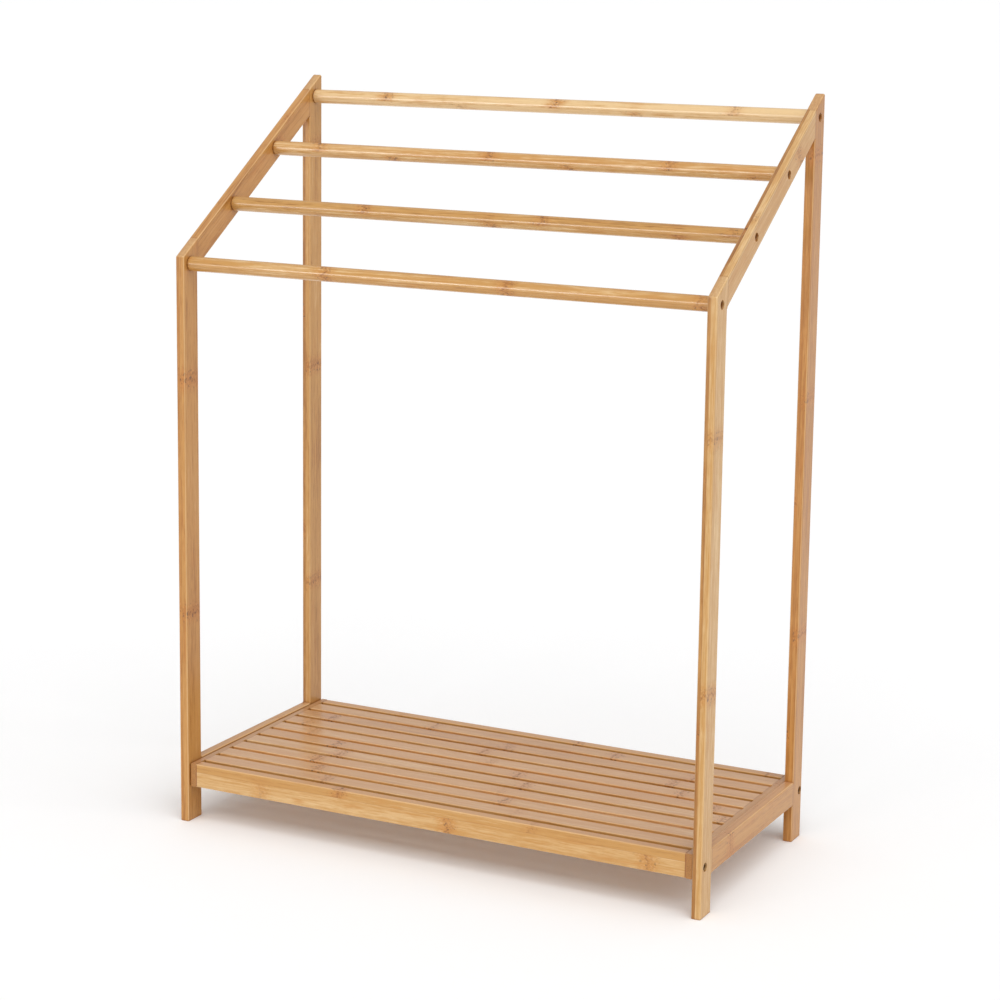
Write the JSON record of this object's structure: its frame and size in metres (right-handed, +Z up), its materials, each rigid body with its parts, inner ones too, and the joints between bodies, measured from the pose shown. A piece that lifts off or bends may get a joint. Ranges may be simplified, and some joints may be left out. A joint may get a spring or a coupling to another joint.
{
  "type": "towel rack",
  "caption": "Free-standing bamboo towel rack: stepped round towel rods between two side frames with sloped tops, and a slatted shelf near the floor.",
  "frame": {"origin": "on the floor, at the middle of the rack's footprint", "axes": "+X to the right along the towel rods, +Y to the back where the posts are taller, +Z up"},
  "size_m": [0.65, 0.3, 0.8482],
  "materials": {
    "bamboo_frame": "satin clear lacquer over laminated bamboo strips",
    "bamboo_rod": "satin clear lacquer over turned bamboo",
    "bamboo_board": "satin clear lacquer over laminated bamboo",
    "bamboo_slat": "satin clear lacquer over laminated bamboo",
    "hardwood_dowel": "bare turned hardwood, fluted and glued in",
    "screw_steel": "dark burnished steel",
    "insert_zinc": "yellow zinc plated"
  },
  "bodies": {
    "root": {"left_front_post": "bamboo_frame", "left_rear_post": "bamboo_frame", "left_sloped_rail": "bamboo_frame", "left_lower_rail": "bamboo_frame", "shelf_left_end_board": "bamboo_board", "left_rod_screws": "screw_steel", "left_shelf_screws": "screw_steel", "left_rod_inserts": "insert_zinc", "left_shelf_inserts": "insert_zinc", "left_frame_dowels": "hardwood_dowel", "shelf_left_dowels": "hardwood_dowel", "right_front_post": "bamboo_frame", "right_rear_post": "bamboo_frame", "right_sloped_rail": "bamboo_frame", "right_lower_rail": "bamboo_frame", "shelf_right_end_board": "bamboo_board", "right_rod_screws": "screw_steel", "right_shelf_screws": "screw_steel", "right_rod_inserts": "insert_zinc", "right_shelf_inserts": "insert_zinc", "right_frame_dowels": "hardwood_dowel", "shelf_right_dowels": "hardwood_dowel", "towel_rod_1": "bamboo_rod", "towel_rod_2": "bamboo_rod", "towel_rod_3": "bamboo_rod", "towel_rod_4": "bamboo_rod", "shelf_front_board": "bamboo_board", "shelf_rear_board": "bamboo_board", "shelf_slat_1": "bamboo_slat", "shelf_slat_2": "bamboo_slat", "shelf_slat_3": "bamboo_slat", "shelf_slat_4": "bamboo_slat", "shelf_slat_5": "bamboo_slat", "shelf_slat_6": "bamboo_slat", "shelf_slat_7": "bamboo_slat", "shelf_slat_8": "bamboo_slat", "shelf_slat_9": "bamboo_slat"}
  },
  "joints": []
}
